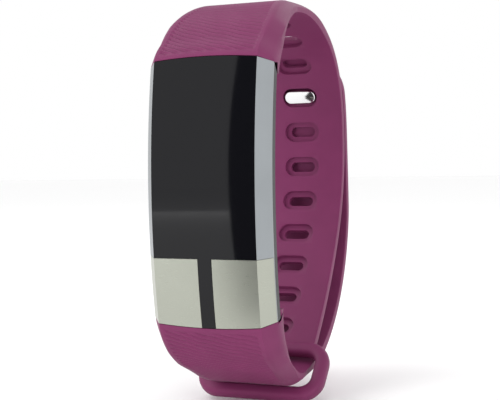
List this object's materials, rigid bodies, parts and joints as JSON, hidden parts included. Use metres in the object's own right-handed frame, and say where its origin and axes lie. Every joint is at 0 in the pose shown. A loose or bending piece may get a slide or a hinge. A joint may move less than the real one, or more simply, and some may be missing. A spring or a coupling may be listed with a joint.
{
  "type": "fitness tracker band",
  "caption": "Slim wrist tracker with a curved display module between two silicone straps, closed by a ring and a stud that presses into a strap hole.",
  "frame": {"origin": "centre of the wrist opening, on the band's middle plane", "axes": "+X along the wrist, +Y away from the display towards the clasp, +Z from the lower strap to the upper strap; the display faces -Y"},
  "size_m": [0.024, 0.0557, 0.0709],
  "materials": {
    "strap_purple": "matte silicone, purple",
    "black_glass": "glossy, nearly black",
    "satin_metal": "satin",
    "electrode_steel": "finely brushed",
    "dark_plastic": "matte",
    "seal_rubber": "matte",
    "screw_steel": "plain",
    "window_glass": "smoked, glossy",
    "gold_contact": "gold plated",
    "display_black": "glossy",
    "flex_amber": "film",
    "board_green": "solder mask",
    "chip_black": "moulded",
    "ceramic_white": "matte",
    "battery_foil": "foil pouch",
    "lead_red": "insulation",
    "tungsten": "sintered",
    "led_lens": "clear lens",
    "polished_steel": "mirror polished"
  },
  "bodies": {
    "band": {"front_glass": "black_glass", "front_frame": "satin_metal", "left_electrode": "electrode_steel", "right_electrode": "electrode_steel", "rear_housing": "dark_plastic", "back_cover": "dark_plastic", "cover_gasket": "seal_rubber", "cover_screws": "screw_steel", "sensor_window": "window_glass", "rear_electrodes": "electrode_steel", "charging_contacts": "gold_contact", "display_panel": "display_black", "display_flex": "flex_amber", "touch_pad": "flex_amber", "main_board": "board_green", "processor": "chip_black", "radio_shield": "screw_steel", "antenna": "ceramic_white", "memory_chip": "chip_black", "motion_sensor": "chip_black", "board_connectors": "ceramic_white", "electrode_springs": "gold_contact", "battery": "battery_foil", "battery_leads": "lead_red", "motor_can": "screw_steel", "sensor_board": "board_green", "green_leds": "led_lens", "light_sensor": "chip_black", "upper_bar_tube": "screw_steel", "upper_bar_fixed_tip": "screw_steel", "upper_bar_spring": "screw_steel", "lower_bar_tube": "screw_steel", "lower_bar_fixed_tip": "screw_steel", "lower_bar_spring": "screw_steel", "upper_strap": "strap_purple", "lower_strap": "strap_purple"},
    "tail": {"lower_strap_tail": "strap_purple", "clasp_stud": "polished_steel"},
    "rotor": {"motor_rotor": "tungsten"},
    "upper_tip": {"upper_bar_sliding_tip": "screw_steel"},
    "lower_tip": {"lower_bar_sliding_tip": "screw_steel"}
  },
  "joints": [
    {"name": "tail_peel", "type": "hinge", "parent": "band", "child": "tail", "pos_m": [0, 0.02554, -0.00129], "axis": [-1, 0, 0], "range_deg": [0, 50]},
    {"name": "rotor_spin", "type": "hinge", "parent": "band", "child": "rotor", "pos_m": [0, -0.0232, -0.0106], "axis": [0, 1, 0], "continuous": true},
    {"name": "upper_release", "type": "slide", "parent": "band", "child": "upper_tip", "axis": [-1, 0, 0], "range_m": [0, 0.0012], "stiffness_N_per_m": 400, "deforming": ["upper_bar_spring"]},
    {"name": "lower_release", "type": "slide", "parent": "band", "child": "lower_tip", "axis": [-1, 0, 0], "range_m": [0, 0.0012], "stiffness_N_per_m": 400, "deforming": ["lower_bar_spring"]}
  ]
}
